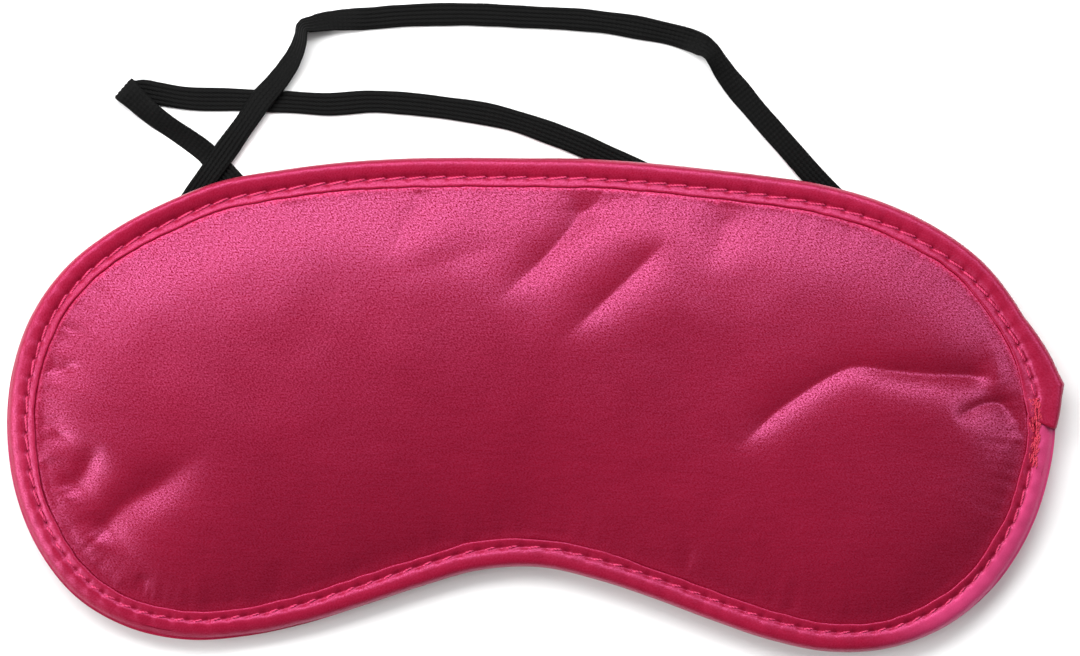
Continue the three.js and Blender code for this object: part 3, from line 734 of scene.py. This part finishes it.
def panel_object(name, coarse, tris, edge_z, side, material, extra):
    """Cloth panel from the plan mesh: subdivided once, folds added, 0.3 mm thick."""
    p, nrm = edge_at(LOOP_S)
    rings = []
    for dd, lift in ((4.5, 0.30), (3.4, 0.0), (1.4, 0.0)):
        q = p + nrm * dd
        rings.append(np.column_stack([q, np.full(NLOOP, edge_z + (lift if side > 0 else 0))]))
    verts = np.vstack([coarse] + rings)
    n = len(coarse)
    faces = [tuple(t) for t in tris]
    prev = list(range(NLOOP))
    for r in range(3):
        cur = [n + r * NLOOP + i for i in range(NLOOP)]
        for i in range(NLOOP):
            j = (i + 1) % NLOOP
            faces.append((prev[i], cur[i], cur[j], prev[j]))
        prev = cur
    o = make(name, verts, faces)
    m = o.modifiers.new("Subdivision", "SUBSURF")
    m.levels = m.render_levels = 1
    dg = bpy.context.evaluated_depsgraph_get()
    ev = bpy.data.meshes.new_from_object(o.evaluated_get(dg))
    co = np.empty(len(ev.vertices) * 3)
    ev.vertices.foreach_get("co", co)
    co = co.reshape(-1, 3) / MM
    polys = [tuple(f.vertices) for f in ev.polygons]
    old = o.data
    bpy.data.objects.remove(o)
    bpy.data.meshes.remove(old)
    bpy.data.meshes.remove(ev)
    co = extra(co)
    # inner face of the cloth, and the raw edge that closes it
    tri = np.array([f[:3] for f in polys])
    nor = np.zeros_like(co)
    fn = np.cross(co[tri[:, 1]] - co[tri[:, 0]], co[tri[:, 2]] - co[tri[:, 0]])
    for k in range(3):
        np.add.at(nor, tri[:, k], fn)
    nor /= np.linalg.norm(nor, axis=1)[:, None] + 1e-12
    if (nor[:, 2].mean() > 0) != (side > 0):
        nor = -nor
    inner = co - nor * SKIN
    count = {}
    for f in polys:
        for a, b in zip(f, f[1:] + f[:1]):
            count[(a, b)] = True
    rim = [(a, b) for (a, b) in count if (b, a) not in count]
    m_ = len(co)
    polys2 = polys + [tuple(m_ + v for v in reversed(f)) for f in polys] + [(b, a, a + m_, b + m_) for a, b in rim]
    o = outwards(make(name, np.vstack([co, inner]), polys2))
    o.data.materials.append(material)
    return o


def face_extra(co):
    d, s = near_edge(co[:, :2])
    x, y = co[:, 0], co[:, 1]
    inn = smooth((d - PIN - 0.1) / 5.0)
    soft = 0.16 * wobble2(x, y, 2, 17.0) + 0.07 * wobble2(x, y, 5, 7.0)
    dip, swell = fold_field(x, y)
    z = co[:, 2] + inn * (dip + soft) + smooth((d - PIN) / 11.0) * swell + pucker_field(x, y, d, s, 1.0)
    # held down by the lip of the binding
    cap = PANEL_EDGE_Z + 0.50 * smooth((d - 3.4) / 1.7) + 1.0 * np.maximum(d - 5.0, 0)
    z = np.where(d < 6.2, np.minimum(z, cap), z)
    z = np.maximum(z, PANEL_LIP_Z + 0.10 + 0.28 * smooth((d - 5.15) / 0.5) - 9 * (d < 5.0))
    out = co.copy()
    out[:, 2] = z
    return out


def lining_extra(co):
    d, s = near_edge(co[:, :2])
    x, y = co[:, 0], co[:, 1]
    clear = smooth((d - PIN - 0.2) / 3.0)
    z = co[:, 2] + pucker_field(x, y, d, s, 4.0, 0.7) * 0.8 + clear * 0.10 * wobble2(x, y, 8, 11.0)
    out = co.copy()
    out[:, 2] = np.maximum(z, 0.03)
    return out


# the face side has a finer mesh along its folds; its heights come from the pillow
PLAN2, TRIS2, _, _ = plan_mesh(crease_rows())
_tree = BVHTree.FromPolygons([tuple(v) for v in FACE], TRIS)
FACE2 = np.column_stack([PLAN2, np.zeros(len(PLAN2))])
FACE2[:NLOOP] = FACE[:NLOOP]
for i in range(NLOOP, len(PLAN2)):
    hit = _tree.ray_cast(Vector((PLAN2[i, 0], PLAN2[i, 1], 60.0)), Vector((0, 0, -1)))[0]
    if hit is None:
        hit = _tree.find_nearest(Vector((PLAN2[i, 0], PLAN2[i, 1], PANEL_LIP_Z)))[0]
    FACE2[i, 2] = hit[2]
front = panel_object("satin_panel", FACE2, TRIS2, PANEL_EDGE_Z, 1, SATIN, face_extra)
# painted glow: the panel is painted a brighter red in its crease against the binding lip, more towards the top,
# standing in for light bounced between lip and panel
_co = np.empty(len(front.data.vertices) * 3)
front.data.vertices.foreach_get("co", _co)
_d, _ = near_edge(_co.reshape(-1, 3)[:, :2] / MM)
_y = _co.reshape(-1, 3)[:, 1] / MM
front.data.attributes.new("painted_light", "FLOAT", "POINT").data.foreach_set(
    "value", ((0.10 + 0.5 * smooth((_y + 18) / 40)) * (1 - smooth((_d - 5.3) / 0.7))).astype(np.float32))
BACK = np.column_stack([PLAN, under_z(PLAN[:, 0], PLAN[:, 1], PLAN_D)])
lining = panel_object("dark_lining", BACK, TRIS, LINING_EDGE_Z, -1, LINING, lining_extra)

# wadding between them
n_ = len(PLAN)
wad_top = np.column_stack([FACE[:, :2], FACE[:, 2] - 0.95
                           + fold_field(FACE[:, 0], FACE[:, 1])[0] - 0.35 * np.exp(-(PLAN_D - PIN) / 5.0)])
wad_bot = np.column_stack([BACK[:, :2], BACK[:, 2] + 0.5])
wad_top[:NLOOP, 2], wad_bot[:NLOOP, 2] = 4.55, 3.95
wad_top[:, 2] = np.maximum(wad_top[:, 2], wad_bot[:, 2] + 0.4)
wad = make("wadding_fill", np.vstack([wad_top, wad_bot]),
           list(TRIS) + [(c + n_, b + n_, a + n_) for a, b, c in TRIS]
           + [(i, (i + 1) % NLOOP, (i + 1) % NLOOP + n_, i + n_) for i in range(NLOOP)])
outwards(wad)
wad.data.materials.append(WADDING)

# -------------------------------------------------------------------- binding

OUTER = np.array([
    (4.90, 5.50), (5.12, 5.58), (5.28, 5.70), (5.33, 5.84), (5.26, 5.96), (5.08, 6.02), (4.80, 5.96), (4.46, 5.85),
    (4.14, 5.73), (3.90, 5.60), (3.70, 5.50), (3.52, 5.58), (3.28, 5.76), (2.95, 5.93), (2.50, 6.03), (1.98, 6.06),
    (1.45, 6.02), (0.98, 5.88), (0.58, 5.60), (0.28, 5.14), (0.08, 4.55), (0.0, 3.90), (0.08, 3.28), (0.30, 2.74),
    (0.68, 2.30), (1.20, 2.02), (1.80, 1.90), (2.45, 1.88), (3.05, 1.94), (3.45, 2.04), (3.70, 2.12), (3.95, 2.05),
    (4.35, 1.99), (4.80, 2.00), (5.12, 2.08), (5.26, 2.22), (5.18, 2.38), (4.95, 2.44),
])
CORE = np.array([(4.85, 5.48), (3.7, 5.14), (2.6, 5.12), (1.6, 5.06), (1.05, 4.7), (0.85, 3.85), (1.05, 3.0), (1.6, 2.6), (2.6, 2.5), (3.7, 2.5), (4.9, 2.48)])


def _resample(poly, like):
    k = np.concatenate([[0], np.cumsum(np.linalg.norm(np.diff(like, axis=0), axis=1))])
    c = np.concatenate([[0], np.cumsum(np.linalg.norm(np.diff(poly, axis=0), axis=1))])
    u = k / k[-1] * c[-1]
    return np.column_stack([np.interp(u, c, poly[:, 0]), np.interp(u, c, poly[:, 1])])


INNER = _resample(CORE, OUTER)
n_stitch = int(round((PERIMETER - (TACK_TO - TACK_FROM)) / PITCH))
HOLES = TACK_TO + (PERIMETER - (TACK_TO - TACK_FROM)) * np.arange(n_stitch + 1) / n_stitch


# how much the face of the binding leans outwards, round the edge
LEAN = [((96.2, 2.0), -0.08), ((89.7, 17.5), -0.18), ((60.0, 39.0), -0.14), ((0.0, 45.6), -0.12), ((-45.0, 43.5), -0.28),
        ((-72.0, 36.0), -0.40), ((-90.0, 22.0), -0.06), ((-97.0, 0.0), 0.30), ((-95.0, -20.0), 0.38), ((-85.0, -35.5), 0.42),
        ((-64.0, -43.4), 0.48), ((-30.0, -36.5), 0.12), ((0.0, -30.0), 0.03), ((40.0, -42.0), 0.03), ((75.0, -41.5), 0.12),
        ((88.0, -30.0), 0.38), ((95.0, -13.0), 0.48), ((96.1, -6.0), 0.48)]
_lean_s = near_edge([q for q, _ in LEAN])[1]
_lean_o = np.argsort(_lean_s)


def lean_at(s):
    return np.interp(np.asarray(s), _lean_s[_lean_o], np.array([v for _, v in LEAN])[_lean_o])


def corner_out(s):
    ds = s - CORNER["s"]
    out = CORNER["out"] * np.maximum(0, np.where(ds < 0, 1 + ds / CORNER["before"], 1 - ds / CORNER["after"]))
    return out + 0.25 * np.maximum(0, 1 - np.abs(ds) / 2.2)


def binding():
    S = np.linspace(-0.3, PERIMETER + 3.6, 1130)
    S = np.sort(np.append(S[np.abs(S - CORNER["s"]) > 0.12], [CORNER["s"] - 0.1, CORNER["s"], CORNER["s"] + 0.1]))
    p, nrm = edge_at(S)
    dev = np.concatenate([[0], np.cumsum(np.linalg.norm(np.diff(OUTER, axis=0), axis=1))])
    roll = 1 + 0.10 * wobble(S, 21, 11.0) + 0.05 * wobble(S, 22, 3.2)
    lipw = 0.20 * wobble(S, 23, 11.0) + 0.10 * wobble(S, 24, 2.6)
    lean = np.where(S < 3.0, lean_at(3.0), np.where(S > PERIMETER - 1.0, lean_at(PERIMETER - 1.0), lean_at(np.clip(S, 0, PERIMETER))))
    out = np.where(S < 60, corner_out(S), 0.0)
    top = 1 - smooth((S - 3.4) / 4.0)                      # folded end lies on the other one
    flat = smooth((S + 6.0) / 2.0) * (1 - smooth((S - 8.0) / 9.0))
    hole_d = S[:, None] - HOLES[None]
    hole_d = hole_d[np.arange(len(S)), np.abs(hole_d).argmin(1)]
    ends = []
    verts, strip = [], []
    n = len(OUTER)

    def section(i, close=0.0, ds=0.0):
        o = OUTER.copy()
        face = o[:, 1] > 3.85
        mid = np.array([1.6, 3.85])
        # padded roll, from the stitch row outwards
        body = smooth((3.5 - o[:, 0]) / 1.0)
        o[:, 1] += np.where(face, 1, -0.6) * body * (roll[i] - 1) * 1.6
        lowered = np.where(face, lean[i] * np.clip(3.45 - o[:, 0], 0, 3.2), 0.0)
        o[:, 1] = np.where(face, np.maximum(o[:, 1] - lowered * smooth((o[:, 1] - 3.85) / 0.9), 3.86), o[:, 1])
        # lip wanders and is drawn in at each stitch
        lipzone = smooth((o[:, 0] - 3.9) / 1.2)
        o[:, 0] += lipzone * lipw[i]
        draw = math.exp(-(hole_d[i] / 0.55) ** 2)
        pull = np.exp(-((o[:, 0] - STITCH) / 0.42) ** 2)
        side = np.where(face, -1.0, 0.8)
        o[:, 1] += side * (0.30 * draw * pull + 0.10 * draw * np.exp(-((o[:, 0] - STITCH) / 1.3) ** 2))
        # bias drag: slanting ripples over the roll
        ph = (S[i] + 0.8 * o[:, 0]) / PITCH * 2 * math.pi
        o[:, 1] += np.where(face, 1, -1) * 0.035 * np.sin(ph) * smooth((3.6 - np.abs(o[:, 0] - 2.2)) / 3.0)
        # overlap of the two ends
        o[:, 1] += np.where(face, 0.30, -0.30) * top[i]
        o[:, 0] -= 0.10 * top[i] * smooth((1.4 - o[:, 0]) / 1.4)
        c = INNER.copy()
        c[:, 1] += np.where(c[:, 1] > 3.85, 0.30, -0.30) * top[i]
        # the other end goes under it, from its slanted edge on
        if i > len(S) // 2:
            hid = smooth((S[i] - PERIMETER - 0.42 * (o[:, 0] - 1.6)) / 0.9)
            lim = np.clip(o[:, 1], 2.30, 5.38)
            o[:, 1] = o[:, 1] * (1 - hid) + lim * hid
            o[:, 0] = o[:, 0] * (1 - hid) + np.maximum(o[:, 0], 0.22) * hid
        # flat where the end is folded under
        fl = 0.75 * flat[i] * smooth((3.4 - o[:, 0]) / 0.8)
        o[:, 1] = np.where(face, o[:, 1] * (1 - fl) + np.minimum(o[:, 1], 5.95) * fl, o[:, 1])
        if close:
            o = o * (1 - close) + c * close
        sh = out[i] * (1 - o[:, 0] / 5.2)
        shc = out[i] * (1 - c[:, 0] / 5.2)
        o[:, 0] -= sh
        c[:, 0] -= shc
        ring = np.vstack([o, c[::-1]])
        t = np.array([nrm[i][1], -nrm[i][0]])
        slant = 0.42 * (ring[:, :1] - 1.6) * (1 - smooth((S[i] + 0.3) / 5.0)) if i < len(S) // 2 else 0.0
        q = p[i][None] + nrm[i][None] * ring[:, :1] + t[None] * (ds + slant)
        verts.append(np.column_stack([q, ring[:, 1]]))
        a = np.concatenate([dev, dev[::-1]]) * MM
        strip.append(np.column_stack([np.full(2 * n, (S[i] + ds) * MM), a]))

    for close, ds in ((0.97, -0.22), (0.6, -0.2), (0.25, -0.1)):
        section(0, close, ds)
    for i in range(len(S)):
        section(i)
    section(len(S) - 1, 0.97, 0.1)
    v = np.vstack(verts)
    return outwards(make("bias_binding", v, tube_faces(len(verts), 2 * n), np.vstack(strip)))


bind = binding()
bind.data.materials.append(BIND)
# painted sheen: the outer roll of the bias-cut tape is painted a lighter pink on its run just below the join, where the
# satin catches the light
_st = np.empty(len(bind.data.vertices) * 3, np.float32)
bind.data.attributes["strip"].data.foreach_get("vector", _st)
_s = _st.reshape(-1, 3)[:, 0] / MM
_b = np.empty(len(bind.data.vertices) * 3)
bind.data.vertices.foreach_get("co", _b)
_bd, _ = near_edge(_b.reshape(-1, 3)[:, :2] / MM)
_painted_sheen = smooth((_s - (PERIMETER - 62)) / 26) * smooth((3.6 - _bd) / 0.7) * (_s > 100)
bind.data.attributes.new("painted_light", "FLOAT", "POINT").data.foreach_set("value", (0.72 * _painted_sheen).astype(np.float32))

# ------------------------------------------------------------------- stitches

def lay(s, d, z):
    p, nrm = edge_at(s)
    q = p + nrm * np.asarray(d)[:, None]
    return np.column_stack([q, z])


def stitch_row(face):
    rng = np.random.default_rng(5 if face else 6)
    paths = []
    for a, b in zip(HOLES[:-1], HOLES[1:]):
        t = np.linspace(0, 1, 9)
        j = rng.normal(0, 0.05, 4)
        sunk = float(smooth((-18.0 - edge_at((a + b) / 2)[0][1]) / 14.0)) if face else 0.0    # short and deep at the nose edge
        s = a + 0.10 + 0.70 * sunk + (b - a - 0.2 - 1.5 * sunk) * t
        slant = -0.20 if face else 0.12
        d = STITCH + j[0] + slant * (1 - 2 * t) + 0.03 * np.sin(math.pi * t)
        arch = np.sin(math.pi * t) ** 0.55
        z = (5.22 + (0.42 - 0.12 * sunk + j[1] * 0.4) * arch) if face else (2.34 - 0.46 * arch)
        paths.append(lay(s, d, z))
    return paths


needle = threads("needle_stitches", stitch_row(True), 0.23)
bobbin = threads("bobbin_stitches", stitch_row(False), 0.17)
for o in (needle, bobbin):
    o.data.materials.append(PINK)


def tack_paths():
    rng = np.random.default_rng(9)
    paths = []
    for row in range(6):
        d0 = STITCH - 0.72 + 0.30 * row + rng.normal(0, 0.10)
        s = TACK_FROM + rng.uniform(0, 2.0)
        end = TACK_TO - rng.uniform(0, 1.6)
        while s < end:
            e = min(s + rng.uniform(1.3, 2.9), end)
            t = np.linspace(0, 1, 9)
            ss = s + (e - s) * t
            d = d0 + rng.normal(0, 0.34) * (t - 0.5) + rng.normal(0, 0.12) + 0.10 * np.sin(math.pi * t) * rng.normal(0, 1)
            base = 5.40 + 0.30 * (1 - smooth((ss - 3.4) / 4.0)) * smooth((ss + 0.8) / 0.5)
            z = base + 0.07 * (row % 2) + (0.22 + 0.10 * rng.random()) * np.sin(math.pi * t) ** 0.5
            paths.append(lay(ss, d, z))
            s = e + rng.uniform(-0.3, 0.15)
    return paths


tack = threads("join_backtack_stitches", tack_paths(), 0.20)
tack.data.materials.append(TACKM)

# ------------------------------------------------------ riding and replacement

for o, node, slot in ((front, "front_panel", "panel_satin"), (lining, "back_lining", "lining_cloth"),
                      (wad, "padding", "wadding"), (bind, "edge_binding", "binding_satin"),
                      (needle, "needle_thread", "pink_thread"), (bobbin, "bobbin_thread", "pink_thread"),
                      (tack, "join_backtack", "tack_thread")):
    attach(o, "root")
    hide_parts(node)

# -------------------------------------------------------------- floor and light

floor = make("floor", [(-3000, -3000, 0), (3000, -3000, 0), (3000, 3000, 0), (-3000, 3000, 0)], [(0, 1, 2, 3)])
fm = Nodes("floor")
fm.set(Base_Color=(0.9, 0.9, 0.9, 1), Roughness=0.9, Specular_IOR_Level=0.0)
floor.data.materials.append(fm.m)


def area(name, azimuth, elevation, distance, size, power, color=(1, 1, 1)):
    d = bpy.data.lights.new(name, "AREA")
    d.shape = "RECTANGLE"
    d.size, d.size_y = size
    d.energy = power
    d.color = color
    o = bpy.data.objects.new(name, d)
    a, e = math.radians(azimuth), math.radians(elevation)
    o.location = (distance * math.cos(e) * math.cos(a), distance * math.cos(e) * math.sin(a), distance * math.sin(e))
    o.rotation_euler = Vector(o.location).to_track_quat("Z", "Y").to_euler()
    bpy.context.scene.collection.objects.link(o)
    return o


area("key", 107, 50, 0.47, (0.64, 0.24), 3.8)
area("left", 192, 26, 0.9, (0.70, 0.36), 8.4)
area("right", 26, 44, 0.9, (0.55, 0.25), 2.9)
world = bpy.data.worlds.new("world")
bpy.context.scene.world = world
world.use_nodes = True
world.node_tree.nodes["Background"].inputs[0].default_value = (1, 1, 1, 1)
world.node_tree.nodes["Background"].inputs[1].default_value = 0.12
bpy.context.scene.view_settings.view_transform = "Standard"
bpy.context.scene.view_settings.look = "None"
